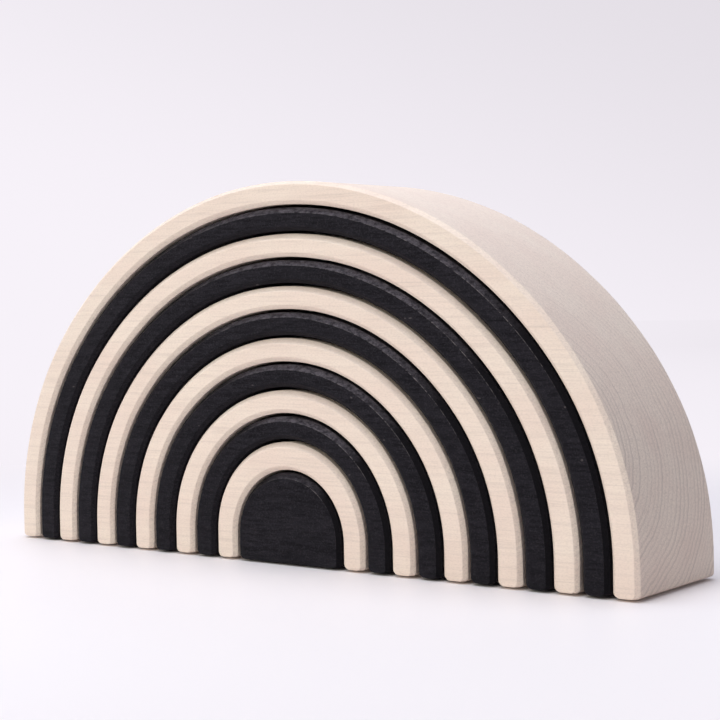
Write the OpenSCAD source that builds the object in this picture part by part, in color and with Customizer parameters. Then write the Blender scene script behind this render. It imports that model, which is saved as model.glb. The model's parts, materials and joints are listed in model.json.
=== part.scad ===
// Rainbow stacker: eleven wooden arches nested over a half-round core block.
// Each piece is loose. It stands on its own feet, one saw cut away from the next.

/* [Nest] */
// Width over the feet of the outermost arch
total_w = 370; // [320:1:420]
// Height of the outermost arch at its crown
total_h = 180; // [160:1:210]
// Depth of every piece, from front face to back face
depth = 70; // [40:1:100]
// Gap that the saw cut and sanding leave between neighbours
kerf = 1.5; // [1:0.1:3.5]

/* [Core] */
// Width of the half-round core block
core_w = 62; // [40:1:90]
// Height of the half-round core block
core_h = 43.5; // [34:0.5:56]

/* [Arches] */
// Thickness of the innermost arch at its crown
inner_crown_t = 13; // [8:0.5:18]
// Least height of the straight foot, below the start of the curve
foot_h = 12; // [4:0.5:20]

/* [Edges] */
// Chamfer round the front and back faces
edge_chamfer = 2; // [0.5:0.1:3]
// Chamfer under the front and back of each foot
foot_chamfer = 1; // [0.2:0.1:2]

/* [Finish] */
// Bare lime wood
natural_color = "#f0decd"; // ["#f0decd", "#e3c9a8"]
// Black stained wood
black_color = "#29282d"; // ["#29282d", "#3a3a40"]

/* [Hidden] */
arch_count = 11;
// Pieces are counted from the outermost arch, 0, to the core block, arch_count
function is_natural(i) = i % 2 == 0;

// Cuts run this far past the face that they open
overrun = 1;
$fn = 128;

inner_arch_h = core_h + kerf + inner_crown_t;

// Outer outline of piece i: half its width over the feet, and its height at the crown
function half_w(i) = (total_w + (core_w - total_w) * i / arch_count) / 2;
function crown_h(i) =
    i == arch_count ? core_h : total_h + (inner_arch_h - total_h) * i / (arch_count - 1);

// The outline is a three-centre arch on straight feet. It is flatness(i) less high above the
// feet than a half circle, so its shoulders are tighter than its crown. Shoulder and crown
// touch on a line that rises 3 for every 4 across, which sets both radii. A piece that is
// taller than a half circle stands on longer feet, and its shoulders and crown are one curve.
function spring_h(i) = max(foot_h, crown_h(i) - half_w(i));
function flatness(i) = half_w(i) - crown_h(i) + spring_h(i);
function shoulder_x(i) = 2 * flatness(i);
function shoulder_r(i) = half_w(i) - 2 * flatness(i);
function crown_r(i) = half_w(i) + flatness(i) / 2;
function crown_z(i) = crown_h(i) - crown_r(i);

// The sector that a shoulder fills, from its level up to the line where it touches the crown.
// It reaches past every curve.
sector_reach = 2 * (total_w + total_h);
shoulder_sector = [[0, 0], [sector_reach, 0], [sector_reach, sector_reach * 3 / 4]];

// Side of a piece's cross section at reach from its middle, from front to back. A solid has
// chamfers at its faces. A hollow flares there instead, to leave the chamfers of its arch.
function side_points(reach, hollow) =
    let (past = hollow ? overrun : 0, flare = hollow ? edge_chamfer + overrun : -edge_chamfer)
    [
        [reach + flare, -depth / 2 - past],
        [reach, edge_chamfer - depth / 2],
        [reach, depth / 2 - edge_chamfer],
        [reach + flare, depth / 2 + past]
    ];

// A round block on a front-to-back axis, with that side all round
module round_block(reach, hollow) {
    side = side_points(reach, hollow);
    rotate([90, 0, 0])
        rotate_extrude()
            polygon([[0, side[0].y], each side, [0, side[3].y]]);
}

// An upright block, with that side on its right and left
module upright_block(reach, hollow, height) {
    side = side_points(reach, hollow);
    linear_extrude(height)
        polygon([each side, for (k = [3 : -1 : 0]) [-side[k].x, side[k].y]]);
}

// What lies outside the right shoulder of piece i, grown by grow
module outside_shoulder(i, grow, hollow)
    translate([shoulder_x(i), 0, spring_h(i)])
        difference() {
            rotate([90, 0, 0])
                linear_extrude(2 * depth, center = true) polygon(shoulder_sector);
            round_block(shoulder_r(i) + grow, hollow);
        }

// The filled outline of piece i, grown all round by grow
module outline(i, grow, hollow)
    difference() {
        union() {
            upright_block(half_w(i) + grow, hollow, spring_h(i));
            intersection() {
                upright_block(half_w(i) + grow, hollow, 2 * crown_h(i));
                translate([0, 0, crown_z(i)]) round_block(crown_r(i) + grow, hollow);
            }
        }
        if (flatness(i) > 0)
            for (side = [0, 1])
                mirror([side, 0, 0]) outside_shoulder(i, grow, hollow);
    }

// What lies under the floor, with the slopes that ease the front and back of the feet
module floor_cut()
    rotate([90, 0, 90])
        linear_extrude(2 * total_w, center = true)
            polygon([
                [-depth, -total_h],
                [depth, -total_h],
                [depth, depth / 2 + foot_chamfer],
                [depth / 2 - foot_chamfer, 0],
                [foot_chamfer - depth / 2, 0],
                [-depth, depth / 2 + foot_chamfer]
            ]);

module arch(i)
    color(is_natural(i) ? natural_color : black_color)
        difference() {
            outline(i, 0, false);
            outline(i + 1, kerf, true);
            floor_cut();
        }

module core_block()
    color(black_color)
        difference() {
            outline(arch_count, 0, false);
            floor_cut();
        }

for (i = [0 : arch_count - 1])
    arch(i);
core_block();
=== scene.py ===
import json

import bpy
import numpy as np
from mathutils import Matrix, Vector


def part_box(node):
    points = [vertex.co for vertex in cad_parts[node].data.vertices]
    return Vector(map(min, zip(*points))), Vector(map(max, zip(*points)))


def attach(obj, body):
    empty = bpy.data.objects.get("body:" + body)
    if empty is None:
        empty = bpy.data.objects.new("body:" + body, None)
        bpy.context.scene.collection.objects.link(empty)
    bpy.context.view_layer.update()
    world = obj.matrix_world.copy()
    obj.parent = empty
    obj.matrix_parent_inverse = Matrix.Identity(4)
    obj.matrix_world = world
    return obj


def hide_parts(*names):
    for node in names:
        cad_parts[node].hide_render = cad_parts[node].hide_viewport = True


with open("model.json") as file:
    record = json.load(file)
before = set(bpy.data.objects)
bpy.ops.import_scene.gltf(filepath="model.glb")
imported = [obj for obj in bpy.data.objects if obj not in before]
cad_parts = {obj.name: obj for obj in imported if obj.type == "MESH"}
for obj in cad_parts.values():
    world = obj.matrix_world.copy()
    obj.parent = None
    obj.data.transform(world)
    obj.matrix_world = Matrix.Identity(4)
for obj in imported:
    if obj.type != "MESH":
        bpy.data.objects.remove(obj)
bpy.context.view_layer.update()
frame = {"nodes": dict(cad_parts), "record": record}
record = frame["record"]

# all lengths are in metres, x over the feet, y from front to back, z up
nest = {
    "kerf": 0.0015,  # gap that the saw leaves between neighbours
    "footHeight": 0.012,  # straight foot under the curve
    "shoulderCosine": 0.8,  # shoulders run up to the line that rises 3 in 4
    "chamfer": 0.0018,  # cut along the front and back arrises, at the feet
    "outerCrownChamfer": 0.0025,  # the sander leans more on the outside of a crown
    "rimCrownChamfer": 0.0016,  # and less on the outermost crown
    "innerCrownChamfer": 0.002,
    "edgeRadius": 0.00045,  # sanding of the chamfer's own edges
    "flatBand": 0.0004,  # flat strip kept beside each rounded edge
    "soleInset": 0.004,  # a foot bears on its middle, with a dark gap under its rim
    "soleDepthInset": 0.014,
    "soleGap": 0.001,
    "soleWall": (0.9, 0.97),  # top of the sole's steep edge, as shares of that gap and inset
    "footRound": 0.0022,  # sanding of the rim at the sides of a foot
    "frontRound": 0.0004,  # and at its front and back
    "sawWander": 0.00012,  # how far the band saw strays from its line
    "chamferWander": 0.08,  # share by which a chamfer's width varies
    "footRows": 6,
    "arcRows": 181,
    "roundSteps": 4,
}

sawWaves = (  # radians a metre, shift from piece to piece, start, share
    (41, 2.1, 0.0, 0.5),
    (97, 4.7, 1.3, 0.3),
    (193, 1.7, 0.4, 0.2),
)

pieceOrder = sorted(frame["nodes"], key=lambda node: -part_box(node)[1].x)  # outermost first
bodyOfNode = {n: body for body, nodes in record["behaviour"]["bodies"].items() for n in nodes}
slotOfNode = {row["node"]: row["material_slot"] for row in record["subparts"]}


def outlineSizes(node):
    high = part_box(node)[1]
    spring = max(nest["footHeight"], high.z - high.x)
    return {"halfWidth": high.x, "crown": high.z, "spring": spring, "halfDepth": high.y}


# Three-centre arch: centre of the shoulder or of the crown, plus radius and growth times outward.
# angle turns from 0 at the right foot to pi at the left one, and lift is the share of the straight
# foot already climbed.
def archCurve(sizes, grow, angle, lift):
    flatness = sizes["halfWidth"] - sizes["crown"] + sizes["spring"]
    crownRadius = sizes["halfWidth"] + flatness / 2
    cosine = np.cos(angle)
    onShoulder = np.abs(cosine) > nest["shoulderCosine"]
    centreX = np.where(onShoulder, 2 * flatness * np.sign(cosine), 0.0)
    centreZ = np.where(onShoulder, sizes["spring"], sizes["crown"] - crownRadius)
    radius = np.where(onShoulder, sizes["halfWidth"] - 2 * flatness, crownRadius)
    outward = np.stack([cosine, np.sin(angle)], axis=1)
    points = np.stack([centreX, centreZ], axis=1) + (radius + grow)[:, None] * outward
    points[:, 1] -= sizes["spring"] * (1 - lift)
    return points, outward


# Slow waver along a cut: the sum of three sines of the length run, shifted for each piece
def waver(run, seed):
    waves = [share * np.sin(run * pace + seed * shift + start) for pace, shift, start, share in sawWaves]
    return sum(waves)


# Length run along a curve: the running sum of its steps
def runLength(points):
    steps = np.linalg.norm(np.diff(points, axis=0), axis=1)
    return np.concatenate([[0.0], np.cumsum(steps)])


# One side of the cross section, from the front face to the back face, with its four corners rounded.
# turn is the direction that the surface faces: -90 front, -45 chamfer, 0 the curved face, 45 chamfer,
# 90 back. From a sharp corner a point lies at the rounding's centre, plus its radius along turn, plus
# a slide along the surface.
def sideProfile():
    radius = nest["edgeRadius"]
    steps = nest["roundSteps"]
    corner = np.repeat(np.arange(4), steps + 2)
    bend = np.concatenate([[0.0], np.linspace(0, 45, steps), [45.0]])
    turn = np.radians(-90 + 45.0 * corner + np.tile(bend, 4))
    slide = np.tile([-nest["flatBand"], *np.zeros(steps), nest["flatBand"]], 4)
    start = np.radians(-90 + 45.0 * corner)
    end = start + np.pi / 4
    lean = radius / (1 + np.cos(np.pi / 4))
    inset = lean * (np.cos(start) + np.cos(end)) - radius * np.cos(turn) + slide * np.sin(turn)
    along = -lean * (np.sin(start) + np.sin(end)) + radius * np.sin(turn) + slide * np.cos(turn)
    return turn, corner, inset, along


# Foot from the floor up: heights, and how far each is drawn in at the sides and at the front. The
# sole's edge, then the rim as a quarter of an ellipse, then the straight foot.
def footProfile(spring):
    wallRise, wallInset = nest["soleWall"]
    turn = np.linspace(0, np.pi / 2, nest["footRows"])
    rimHeight = nest["soleGap"] + nest["footRound"] * (1 - np.cos(turn))
    rimInset = 1 - np.sin(turn)
    straight = np.linspace(rimHeight[-1], spring, nest["footRows"])[1:-1]
    height = np.concatenate([[0.0, nest["soleGap"] * wallRise], rimHeight, straight])
    soleEdge = np.array([1.0, wallInset])
    level = np.zeros(len(straight))
    inset = np.concatenate([soleEdge * nest["soleInset"], rimInset * nest["footRound"], level])
    depthInset = np.concatenate([soleEdge * nest["soleDepthInset"], rimInset * nest["frontRound"], level])
    return height / spring, np.stack([inset, depthInset], axis=1)


# Grid of one side: rows follow the curve, columns follow the cross section. A point is the curve's
# point, sunk along inward by chamfer, rounding, foot cut and the saw's stray. A chamfer goes from its
# width at the feet to that at the crown with the square of inward's rise.
def sideGrid(points, inward, halfDepth, footCut, crownChamfer, seed):
    turn, corner, inset, along = sideProfile()
    run = runLength(points)
    cut = nest["chamfer"] + (crownChamfer - nest["chamfer"]) * inward[:, 1] ** 2
    frontCut = cut * (1 + nest["chamferWander"] * waver(run, seed))
    backCut = cut * (1 + nest["chamferWander"] * waver(run, seed + 5))
    half = halfDepth - footCut[:, 1]
    zero = np.zeros_like(run)
    cornerIn = np.stack([frontCut, zero, zero, backCut], axis=1)[:, corner]
    cornerY = np.stack([-half, frontCut - half, half - backCut, half], axis=1)[:, corner]
    stray = nest["sawWander"] * waver(run, seed + 2)
    sink = cornerIn + inset + footCut[:, :1] + stray[:, None]
    across = points[:, None, :] + sink[:, :, None] * inward[:, None, :]
    across[:, :, 1] = np.clip(across[:, :, 1], 0, None)
    return np.stack([across[:, :, 0], cornerY + along, across[:, :, 1]], axis=2), turn


# An arch runs from its right foot over the crown to its left foot. Its inside is the outline of the
# piece within, grown by the saw's gap, in the same rows.
def archSides(sizes, place):
    within = outlineSizes(pieceOrder[place + 1])
    rise, inset = footProfile(sizes["spring"])
    innerRise = rise * sizes["spring"] / within["spring"]
    sweep = np.linspace(0, np.pi, nest["arcRows"])
    risen = np.ones(len(sweep))
    foot = np.zeros(len(rise))
    angle = np.concatenate([foot, sweep, foot + np.pi])
    footCut = np.concatenate([inset, np.zeros((len(sweep), 2)), inset[::-1]])
    lift = np.concatenate([rise, risen, rise[::-1]])
    innerLift = np.concatenate([innerRise, risen, innerRise[::-1]])
    points, outward = archCurve(sizes, 0, angle, lift)
    innerPoints, outward = archCurve(within, nest["kerf"], angle, innerLift)
    outerCut = nest["rimCrownChamfer"] if place == 0 else nest["outerCrownChamfer"]
    innerCut = nest["innerCrownChamfer"]
    half = sizes["halfDepth"]
    outer, turn = sideGrid(points, -outward, half, footCut, outerCut, place)
    inner, turn = sideGrid(innerPoints, outward, half, footCut, innerCut, place + 0.5)
    sides = {"first": outer, "second": inner, "towards": [outward, -outward]}
    return {**sides, "turn": turn, "run": runLength(points)}


# The core block climbs from its right foot to its crown, and its left side mirrors that
def coreSides(sizes, place):
    rise, inset = footProfile(sizes["spring"])
    sweep = np.linspace(0, np.pi / 2, nest["arcRows"] // 2 + 1)
    angle = np.concatenate([np.zeros(len(rise)), sweep])
    lift = np.concatenate([rise, np.ones(len(sweep))])
    footCut = np.concatenate([inset, np.zeros((len(sweep), 2))])
    points, outward = archCurve(sizes, 0, angle, lift)
    crownCut = nest["outerCrownChamfer"]
    right, turn = sideGrid(points, -outward, sizes["halfDepth"], footCut, crownCut, place)
    left = right * np.array([-1.0, 1.0, 1.0])
    sides = {"first": right, "second": left, "towards": [outward, outward * np.array([-1.0, 1.0])]}
    return {**sides, "turn": turn, "run": runLength(points)}


# Faces run round the cross section from row to row, with a cap under each foot. The core block's
# sides share their last row along the crown, so its last front and back faces are triangles.
def skinFaces(rows, columns, isCore):
    index = np.arange(rows * columns).reshape(rows, columns)
    middle = columns // 2
    if isCore:
        index[-1, middle:] = index[-1, :middle][::-1]
    after = np.roll(index, -1, axis=1)
    quads = np.stack([index[:-1], after[:-1], after[1:], index[1:]], axis=2)
    outer = index[:, :middle]
    inner = index[:, :middle - 1:-1]
    footCap = np.stack([outer[0, :-1], inner[0, :-1], inner[0, 1:], outer[0, 1:]], axis=1)
    if not isCore:
        endCap = np.stack([outer[-1, :-1], outer[-1, 1:], inner[-1, 1:], inner[-1, :-1]], axis=1)
        return np.concatenate([quads.reshape(-1, 4), footCap, endCap]), np.zeros((0, 3), dtype=int)
    tips = quads[-1, [middle - 1, columns - 1], :3]
    keep = np.ones((rows - 1, columns), dtype=bool)
    keep[-1, [middle - 1, columns - 1]] = False
    return np.concatenate([quads[keep], footCap]), tips


# wear of the black pieces' chamfers, with painted sheen and painted shade
wearAndPaintedLight = {
    "wornTowards": 79.0,  # which way the chamfers with wear and painted sheen face, degrees up from the right
    "coreWear": 0.35,  # wear and painted sheen of the core block, as a share of an arch's
    "innerSoak": 0.25,  # painted shade on an inner chamfer, as a share of an outer one's
}


# What the finishes know of each point: its share of chamfer and of sawn face from turn, the length
# run, the sideways share of the surface normal, the cosine between outward and the way of most wear
# and painted sheen, the share of painted shade, and the share of wear with painted sheen
def finishShares(sides, place, isCore):
    facing = np.concatenate([sides["turn"], sides["turn"][::-1]])
    bevel = np.abs(facing) / (np.pi / 4)
    middle = len(facing) // 2
    sawn = np.clip(1 - bevel, 0, 1)
    if place == 0:
        sawn[:middle] = 0  # the outside of the rainbow is sanded smooth
    isOuter = (np.arange(len(facing)) < middle) | isCore
    towards = np.repeat(np.stack(sides["towards"], axis=1), middle, axis=1)
    sideways = towards[:, :, 0]
    upward = towards[:, :, 1]
    lean = np.radians(wearAndPaintedLight["wornTowards"])
    every = np.ones_like(sideways)
    return {
        "chamfer": every * (1 - np.abs(bevel - 1)),
        "sawn": every * sawn,
        "run": every * sides["run"][:, None],
        "sideways": sideways * np.cos(facing),
        "wornSide": sideways * np.cos(lean) + upward * np.sin(lean),
        "soak": every * np.where(isOuter, 1.0, wearAndPaintedLight["innerSoak"]),
        "wear": every * (wearAndPaintedLight["coreWear"] if isCore else 1.0),
    }


# A piece: its two side grids joined into one ring of columns, with the points that its faces use
def nestPiece(name, node, place):
    isCore = place == len(pieceOrder) - 1
    shapeSides = coreSides if isCore else archSides
    sides = shapeSides(outlineSizes(node), place)
    grid = np.concatenate([sides["first"], sides["second"][:, ::-1]], axis=1)
    fourSided, tips = skinFaces(*grid.shape[:2], isCore)
    used, fresh = np.unique(np.concatenate([fourSided.ravel(), tips.ravel()]), return_inverse=True)
    fourSided, tips = np.split(fresh, [fourSided.size])
    faces = fourSided.reshape(-1, 4).tolist() + tips.reshape(-1, 3).tolist()
    mesh = bpy.data.meshes.new(name)
    mesh.from_pydata(grid.reshape(-1, 3)[used], [], faces)
    mesh.polygons.foreach_set("use_smooth", np.ones(len(mesh.polygons), dtype=bool))
    for label, shares in finishShares(sides, place, isCore).items():
        layer = mesh.attributes.new(label, "FLOAT", "POINT")
        layer.data.foreach_set("value", shares.reshape(-1)[used].astype(np.float32))
    mesh.update()
    piece = bpy.data.objects.new(name, mesh)
    bpy.context.scene.collection.objects.link(piece)
    return piece


# helpers that lay out a node tree
def addNode(tree, kind, inputs=None, **settings):
    node = tree.nodes.new(kind)
    for key, value in settings.items():
        setattr(node, key, value)
    for socket, value in (inputs or {}).items():
        if isinstance(value, bpy.types.NodeSocket):
            tree.links.new(value, node.inputs[socket])
        else:
            node.inputs[socket].default_value = value
    return node


def calc(tree, operation, first, second=0.0, third=0.0):
    node = addNode(tree, "ShaderNodeMath", {0: first, 1: second, 2: third}, operation=operation)
    return node.outputs[0]


def product(tree, first, *others):
    for other in others:
        first = calc(tree, "MULTIPLY", first, other)
    return first


def vectorCalc(tree, operation, inputs, output="Vector"):
    return addNode(tree, "ShaderNodeVectorMath", inputs, operation=operation).outputs[output]


def remap(tree, value, fromLow, fromHigh, toLow=0.0, toHigh=1.0, smooth=False):
    kind = "SMOOTHSTEP" if smooth else "LINEAR"
    inputs = {"Value": value, 1: fromLow, 2: fromHigh, 3: toLow, 4: toHigh}
    return addNode(tree, "ShaderNodeMapRange", inputs, interpolation_type=kind, clamp=True).outputs[0]


def blendColour(tree, share, first, second):
    inputs = {0: share, 6: first, 7: second}
    return addNode(tree, "ShaderNodeMix", inputs, data_type="RGBA").outputs[2]


def grainNoise(tree, place, alongGrain, size, detail, roughness):
    squeezed = vectorCalc(tree, "MULTIPLY", {0: place, 1: (alongGrain, 1.0, 1.0)})
    inputs = {"Vector": squeezed, "Scale": size, "Detail": detail, "Roughness": roughness}
    return addNode(tree, "ShaderNodeTexNoise", inputs).outputs[0]


def attributeValue(tree, name):
    return addNode(tree, "ShaderNodeAttribute", attribute_name=name).outputs["Fac"]


def paint(red, green, blue):
    shares = np.array([red, green, blue]) / 255
    linear = np.where(shares <= 0.04045, shares / 12.92, ((shares + 0.055) / 1.055) ** 2.4)
    return (*linear.tolist(), 1.0)


# an empty finish, with the place on the piece in millimetres
def newFinish(name):
    finish = bpy.data.materials.new(name)
    finish.use_nodes = True
    tree = finish.node_tree
    tree.nodes.clear()
    place = addNode(tree, "ShaderNodeTexCoord").outputs["Object"]
    return finish, tree, vectorCalc(tree, "SCALE", {0: place, 3: 1000.0})


sawMarks = {
    "scale": 0.9,  # in 1/mm
    "detail": 2.0,
    "depth": 1.6,  # against the grain's own relief
}


# Ridges that the saw's teeth leave across a sawn face: noise of the length run, added to the relief
def addSawMarks(tree, relief):
    run = product(tree, attributeValue(tree, "run"), 1000.0)
    inputs = {"W": run, "Scale": sawMarks["scale"], "Detail": sawMarks["detail"]}
    teeth = addNode(tree, "ShaderNodeTexNoise", inputs, noise_dimensions="1D").outputs[0]
    marks = product(tree, teeth, attributeValue(tree, "sawn"))
    return calc(tree, "MULTIPLY_ADD", marks, sawMarks["depth"], relief)


def woodSurface(tree, look, colour, rough, relief):
    inputs = {"Strength": look["bumpStrength"], "Distance": look["bumpDepth"], "Height": relief}
    bump = addNode(tree, "ShaderNodeBump", inputs).outputs[0]
    inputs = {"Base Color": colour, "Roughness": rough, "Normal": bump}
    inputs.update({"IOR": look["ior"], "Specular IOR Level": look["specular"]})
    shader = addNode(tree, "ShaderNodeBsdfPrincipled", inputs)
    addNode(tree, "ShaderNodeOutputMaterial", {"Surface": shader.outputs[0]})


limeWood = {
    "pale": paint(245, 228, 212),
    "rosy": paint(241, 220, 205),
    "lateWood": paint(201, 182, 170),
    "pithY": -66.0,  # heart of the tree, in front of the block, mm
    "pithZ": 74.0,
    "ringWidth": 2.9,
    "driftReach": 14.0,  # how far the rings stray, mm
    "wobbleReach": 2.2,
    "ringOnFaces": 0.08,
    "ringOnEndGrain": 0.7,
    "fibreStrength": 0.38,
    "poresOnFaces": 0.26,
    "poresOnEndGrain": 0.6,
    "roughness": 0.6,
    "ior": 1.45,
    "specular": 0.2,
    "bumpStrength": 0.3,
    "bumpDepth": 0.0003,
    # noises: squeeze along the grain, scale in 1/mm, detail, roughness
    "drift": (0.2, 0.016, 2.0, 0.5),
    "wobble": (0.05, 0.15, 2.0, 0.5),
    "fibre": (0.03, 1.1, 4.0, 0.65),
    "patch": (0.35, 0.04, 3.0, 0.55),
    "grit": (0.5, 1.6, 2.0, 0.6),
}


# Growth rings: distance from the heart of the tree, bent by two noises, over the width of a ring.
# Late wood darkens through each ring and ends sharply, more in some years than in others.
def growthRings(tree, place):
    parts = addNode(tree, "ShaderNodeSeparateXYZ", {0: place})
    y = calc(tree, "SUBTRACT", parts.outputs[1], limeWood["pithY"])
    z = calc(tree, "SUBTRACT", parts.outputs[2], limeWood["pithZ"])
    radius = calc(tree, "SQRT", calc(tree, "ADD", product(tree, y, y), product(tree, z, z)))
    drift = grainNoise(tree, place, *limeWood["drift"])
    wobble = grainNoise(tree, place, *limeWood["wobble"])
    bent = calc(tree, "MULTIPLY_ADD", drift, limeWood["driftReach"], radius)
    bent = calc(tree, "MULTIPLY_ADD", wobble, limeWood["wobbleReach"], bent)
    ring = calc(tree, "DIVIDE", bent, limeWood["ringWidth"])
    share = calc(tree, "FRACT", ring)
    year = calc(tree, "FLOOR", ring)
    growth = addNode(tree, "ShaderNodeTexWhiteNoise", {"W": year}, noise_dimensions="1D").outputs[0]
    rise = remap(tree, share, 0.35, 0.85, smooth=True)
    fall = remap(tree, share, 0.88, 1.0, 1.0, 0.0)
    return product(tree, rise, fall, remap(tree, growth, 0.0, 1.0, 0.2, 1.0))


# One block of lime: growth rings round a lengthwise axis in front of the block, fibres along x
def bareLime():
    finish, tree, place = newFinish("limeWood")
    late = growthRings(tree, place)
    fibre = grainNoise(tree, place, *limeWood["fibre"])
    patch = grainNoise(tree, place, *limeWood["patch"])
    grit = grainNoise(tree, place, *limeWood["grit"])
    # a face across the grain shows its rings and pores more clearly than one along it
    endGrain = calc(tree, "ABSOLUTE", attributeValue(tree, "sideways"))
    ringShare = remap(tree, endGrain, 0.6, 0.98, limeWood["ringOnFaces"], limeWood["ringOnEndGrain"])
    poreShare = remap(tree, endGrain, 0.3, 0.95, limeWood["poresOnFaces"], limeWood["poresOnEndGrain"])
    colour = blendColour(tree, remap(tree, patch, 0.36, 0.66), limeWood["pale"], limeWood["rosy"])
    colour = blendColour(tree, product(tree, late, ringShare), colour, limeWood["lateWood"])
    lines = product(tree, remap(tree, fibre, 0.48, 0.74), limeWood["fibreStrength"])
    colour = blendColour(tree, lines, colour, limeWood["lateWood"])
    pores = product(tree, remap(tree, grit, 0.45, 0.7), poreShare)
    colour = blendColour(tree, pores, colour, limeWood["lateWood"])
    relief = calc(tree, "MULTIPLY_ADD", fibre, 0.6, product(tree, grit, 0.6))
    relief = addSawMarks(tree, calc(tree, "MULTIPLY_ADD", late, 0.3, relief))
    rough = remap(tree, fibre, 0.3, 0.7, limeWood["roughness"] - 0.05, limeWood["roughness"] + 0.07)
    woodSurface(tree, limeWood, colour, rough, relief)
    return finish


blackWood = {
    "stain": paint(36, 34, 39),
    "deep": paint(20, 19, 23),
    "soaked": paint(15, 14, 17),  # painted shade on chamfers that face away from the painted sheen
    # pale grey of dust specks, and of rubbed chamfers where it is partly wear and partly painted sheen
    "worn": paint(104, 99, 106),
    "rubbed": paint(112, 104, 104),
    # pale edge line, partly edge wear and partly a painted highlight
    "edgeLine": paint(168, 159, 157),
    "cloudShare": 0.4,
    "dustShare": 0.14,
    # how far the painted shade darkens a chamfer
    "soakShare": 0.8,
    "lineShare": 0.95,
    "fleckShare": 0.35,
    "roughness": 0.5,
    "ior": 1.45,
    "specular": 0.05,
    "bumpStrength": 0.45,
    "bumpDepth": 0.0004,
    # noises: squeeze along the grain, scale in 1/mm, detail, roughness
    "fibre": (0.12, 0.9, 4.0, 0.65),
    "speckle": (0.8, 1.7, 2.0, 0.6),
    "patch": (0.4, 0.05, 3.0, 0.6),
    "mottle": (0.6, 0.6, 3.0, 0.65),
    "fleck": (0.6, 0.35, 1.0, 0.5),
}


# Wear and painted light on the stain, laid over colour. On a chamfer, what doesn't face the way of most
# wear gets painted shade, and what does is rubbed in streaks that are partly wear and partly painted
# sheen.
def chamferWearAndPaintedLight(tree, colour, mottle, speckle):
    onChamfer = remap(tree, attributeValue(tree, "chamfer"), 0.55, 1.0, smooth=True)
    wornSide = remap(tree, attributeValue(tree, "wornSide"), 0.8, 0.96)
    paintedShadeSide = remap(tree, wornSide, 0.0, 1.0, blackWood["soakShare"], 0.0)
    soak = product(tree, onChamfer, paintedShadeSide, attributeValue(tree, "soak"))
    colour = blendColour(tree, soak, colour, blackWood["soaked"])
    streak = remap(tree, mottle, 0.34, 0.66, 0.1, 1.0)
    grain = remap(tree, speckle, 0.25, 0.65, 0.5, 1.0)
    rubAndSheen = product(tree, onChamfer, wornSide, attributeValue(tree, "wear"), streak, grain)
    return blendColour(tree, rubAndSheen, colour, blackWood["worn"])


# Pale line where the front or back face meets a chamfer, partly edge wear and partly a painted
# highlight, clearest where that faces up and right. It is the product of a band over the edge, a
# mottle, and those two directions.
def edgeWearAndHighlight(tree, colour, mottle):
    chamfer = attributeValue(tree, "chamfer")
    rise = remap(tree, chamfer, 0.1, 0.5)
    fall = remap(tree, chamfer, 0.5, 0.95, 1.0, 0.0)
    atFace = remap(tree, attributeValue(tree, "sawn"), 0.0, 0.3, 1.0, 0.0)
    patchy = remap(tree, mottle, 0.42, 0.65, 0.0, blackWood["lineShare"])
    upward = remap(tree, attributeValue(tree, "wornSide"), 0.66, 0.85, 0.05, 1.0)
    rightward = remap(tree, attributeValue(tree, "sideways"), 0.0, 0.35, 0.35, 1.0)
    line = product(tree, rise, fall, patchy, upward, rightward, atFace)
    return blendColour(tree, line, colour, blackWood["edgeLine"])


# The same wood under a thin black stain that leaves the fibres open, with worn chamfers that carry
# painted sheen and painted shade, edge lines with a painted highlight, and flecks
def blackStain():
    finish, tree, place = newFinish("blackWood")
    fibre = grainNoise(tree, place, *blackWood["fibre"])
    speckle = grainNoise(tree, place, *blackWood["speckle"])
    patch = grainNoise(tree, place, *blackWood["patch"])
    mottle = grainNoise(tree, place, *blackWood["mottle"])
    fleck = grainNoise(tree, place, *blackWood["fleck"])
    colour = blendColour(tree, remap(tree, fibre, 0.4, 0.66), blackWood["stain"], blackWood["deep"])
    cloud = product(tree, remap(tree, patch, 0.4, 0.7), blackWood["cloudShare"])
    colour = blendColour(tree, cloud, colour, blackWood["deep"])
    dust = product(tree, remap(tree, speckle, 0.5, 0.75), blackWood["dustShare"])
    colour = blendColour(tree, dust, colour, blackWood["worn"])
    colour = chamferWearAndPaintedLight(tree, colour, mottle, speckle)
    colour = edgeWearAndHighlight(tree, colour, mottle)
    spots = product(tree, remap(tree, fleck, 0.79, 0.81), blackWood["fleckShare"])
    colour = blendColour(tree, spots, colour, blackWood["rubbed"])
    relief = addSawMarks(tree, calc(tree, "MULTIPLY_ADD", fibre, 0.9, speckle))
    rough = remap(tree, speckle, 0.3, 0.7, blackWood["roughness"] - 0.06, blackWood["roughness"] + 0.1)
    woodSurface(tree, blackWood, colour, rough, relief)
    return finish


finishes = {"natural_wood": bareLime(), "black_wood": blackStain()}
print("finishes: lime wood and black stain")

for place, node in enumerate(pieceOrder):
    words = node.split("_")
    piece = nestPiece(words[0] + "".join(word.capitalize() for word in words[1:]), node, place)
    piece.data.materials.append(finishes[slotOfNode[node]])
    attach(piece, bodyOfNode[node])
    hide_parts(node)
print("pieces:", len(pieceOrder), "swept from the CAD boxes")

backdrop = {
    "low": paint(247, 242, 249),  # where floor and wall run together
    # the wall's painted shade towards the upper right
    "high": paint(227, 222, 229),
    "highTowards": (0.35, 0.27, 1.0),  # up, and to the right of the picture
    "slopes": (-0.05, 0.3),  # where the painted shade of the wall starts and ends
    "sky": paint(224, 235, 255),  # what lights the shaded sides
    "skyStrength": 0.27,
}


# Painted shade on the wall: it greys with the slope of a direction towards the upper right
def wallColour(tree, direction):
    slope = vectorCalc(tree, "DOT_PRODUCT", {0: direction, 1: backdrop["highTowards"]}, "Value")
    grey = remap(tree, slope, *backdrop["slopes"], smooth=True)
    return blendColour(tree, grey, backdrop["low"], backdrop["high"])


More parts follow.
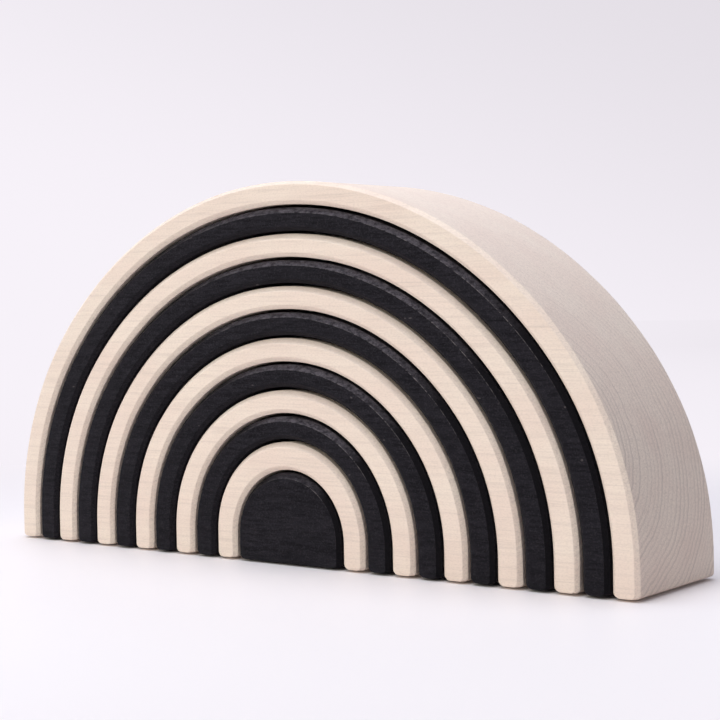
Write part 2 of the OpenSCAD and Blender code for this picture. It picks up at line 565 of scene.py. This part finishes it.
# 1 for what the camera sees, also in a reflection or through glass
def seenRay(tree):
    path = addNode(tree, "ShaderNodeLightPath")
    mirrored = calc(tree, "MAXIMUM", path.outputs["Is Glossy Ray"], path.outputs["Is Transmission Ray"])
    return calc(tree, "MAXIMUM", path.outputs["Is Camera Ray"], mirrored)


# a pale wall where it is seen, and a faint blue sky as light
def studioSky():
    world = bpy.data.worlds.new("studioSky")
    bpy.context.scene.world = world
    world.use_nodes = True
    tree = world.node_tree
    tree.nodes.clear()
    colour = wallColour(tree, addNode(tree, "ShaderNodeTexCoord").outputs["Generated"])
    inputs = {"Color": backdrop["sky"], "Strength": backdrop["skyStrength"]}
    sky = addNode(tree, "ShaderNodeBackground", inputs)
    wall = addNode(tree, "ShaderNodeBackground", {"Color": colour, "Strength": 1.0})
    both = addNode(tree, "ShaderNodeMixShader", {0: seenRay(tree), 1: sky.outputs[0], 2: wall.outputs[0]})
    addNode(tree, "ShaderNodeOutputWorld", {"Surface": both.outputs[0]})


studioSky()

floorLook = {
    "radius": 6.0,
    "rings": 60,
    "segments": 96,
    "drop": 0.0001,  # below the feet
    "colour": paint(247, 240, 239),
    "bounce": paint(243, 237, 235),  # what lights the object from below, and the gaps under its feet
    "roughness": 0.55,
    "fade": (200.0, 550.0),  # paper gives way to the glow of the wall, mm from the middle
    "horizon": (500.0, 3000.0),  # the glow takes on the wall's painted shade, mm
}


# Floor: a fan, then rings whose radius grows with the square of their number, level
def floorMesh():
    segments = floorLook["segments"]
    radius = floorLook["radius"] * np.linspace(0.02, 1, floorLook["rings"]) ** 2
    turn = np.linspace(0, 2 * np.pi, segments, endpoint=False)
    rings = np.stack([np.outer(radius, np.cos(turn)), np.outer(radius, np.sin(turn))], axis=2)
    points = np.concatenate([rings.reshape(-1, 2), np.zeros((1, 2))])
    points = np.column_stack([points, np.full(len(points), -floorLook["drop"])])
    index = np.arange(len(points) - 1).reshape(floorLook["rings"], segments)
    after = np.roll(index, -1, axis=1)
    quads = np.stack([index[:-1], index[1:], after[1:], after[:-1]], axis=2).reshape(-1, 4)
    centre = np.full(segments, len(points) - 1)
    fan = np.stack([centre, index[0], after[0]], axis=1)
    mesh = bpy.data.meshes.new("paleFloor")
    mesh.from_pydata(points, [], quads.tolist() + fan.tolist())
    return mesh


# Paper near the object. Further off it glows in the wall's colour, so that no edge shows between them.
def floorPaper():
    finish, tree, place = newFinish("floorPaper")
    reach = vectorCalc(tree, "LENGTH", {0: place}, "Value")
    outward = vectorCalc(tree, "NORMALIZE", {0: place})
    wallwards = vectorCalc(tree, "SCALE", {0: outward, 3: remap(tree, reach, *floorLook["horizon"])})
    seen = seenRay(tree)
    sheet = blendColour(tree, seen, floorLook["bounce"], floorLook["colour"])
    inputs = {"Base Color": sheet, "Roughness": floorLook["roughness"]}
    paper = addNode(tree, "ShaderNodeBsdfPrincipled", inputs)
    glow = addNode(tree, "ShaderNodeEmission", {"Color": wallColour(tree, wallwards), "Strength": 1.0})
    share = product(tree, remap(tree, reach, *floorLook["fade"], smooth=True), seen)
    mixed = addNode(tree, "ShaderNodeMixShader", {0: share, 1: paper.outputs[0], 2: glow.outputs[0]})
    addNode(tree, "ShaderNodeOutputMaterial", {"Surface": mixed.outputs[0]})
    return finish


def paleFloor():
    floor = bpy.data.objects.new("paleFloor", floorMesh())
    bpy.context.scene.collection.objects.link(floor)
    floor.data.materials.append(floorPaper())


paleFloor()
print("stage: pale floor and backdrop")

lampAim = (0.0, 0.0, 0.08)
softBoxes = {
    "front": {"place": (0.0, -1.75, 0.75), "size": 0.9, "power": 11.1, "tint": (1.0, 0.98, 0.85)},
    "left": {"place": (-1.8, -0.9, 0.6), "size": 0.8, "power": 5.2, "tint": (1.0, 0.98, 0.92)},
    "overhead": {"place": (-0.12, -0.1, 1.5), "size": 1.0, "power": 20.0, "tint": (0.88, 0.91, 1.0)},
}

for name, box in softBoxes.items():
    lamp = bpy.data.lights.new(name, "AREA")
    lamp.shape = "SQUARE"
    lamp.size = box["size"]
    lamp.energy = box["power"]
    lamp.color = box["tint"]
    holder = bpy.data.objects.new(name, lamp)
    bpy.context.scene.collection.objects.link(holder)
    holder.location = box["place"]
    aim = Vector(lampAim) - Vector(box["place"])
    holder.rotation_euler = aim.to_track_quat("-Z", "Y").to_euler()
print("light:", len(softBoxes), "soft boxes and a pale sky")

viewPlan = {
    "target": (0.0182, 0.0, 0.0954),
    "yaw": 37.6,
    "pitch": 2.23,
    "roll": -1.0,
    "distance": 0.82,
    "focal": 1718,  # in pixels
    "frameWidth": 720,  # in pixels
    "sensor": 36.0,
    "clipEnd": 50.0,
}


# The camera stands back from its target by yaw and pitch, and its right and up axes turn by roll
def photoCamera():
    yaw, pitch, roll = np.radians([viewPlan["yaw"], viewPlan["pitch"], viewPlan["roll"]])
    back = Vector((np.sin(yaw) * np.cos(pitch), -np.cos(yaw) * np.cos(pitch), np.sin(pitch)))
    right = (-back).cross(Vector((0, 0, 1))).normalized()
    up = right.cross(-back)
    turnedRight = np.cos(roll) * right + np.sin(roll) * up
    turnedUp = np.cos(roll) * up - np.sin(roll) * right
    lens = bpy.data.cameras.new("photoView")
    lens.sensor_width = viewPlan["sensor"]
    lens.sensor_fit = "HORIZONTAL"
    lens.lens = viewPlan["focal"] / viewPlan["frameWidth"] * viewPlan["sensor"]
    lens.clip_end = viewPlan["clipEnd"]
    camera = bpy.data.objects.new("photoView", lens)
    bpy.context.scene.collection.objects.link(camera)
    turn = Matrix((turnedRight, turnedUp, back)).transposed()
    spot = Vector(viewPlan["target"]) + back * viewPlan["distance"]
    camera.matrix_world = Matrix.Translation(spot) @ turn.to_4x4()
    bpy.context.scene.camera = camera


photoCamera()
bpy.context.scene.view_settings.view_transform = "Standard"
print("camera: at the photograph's angle")
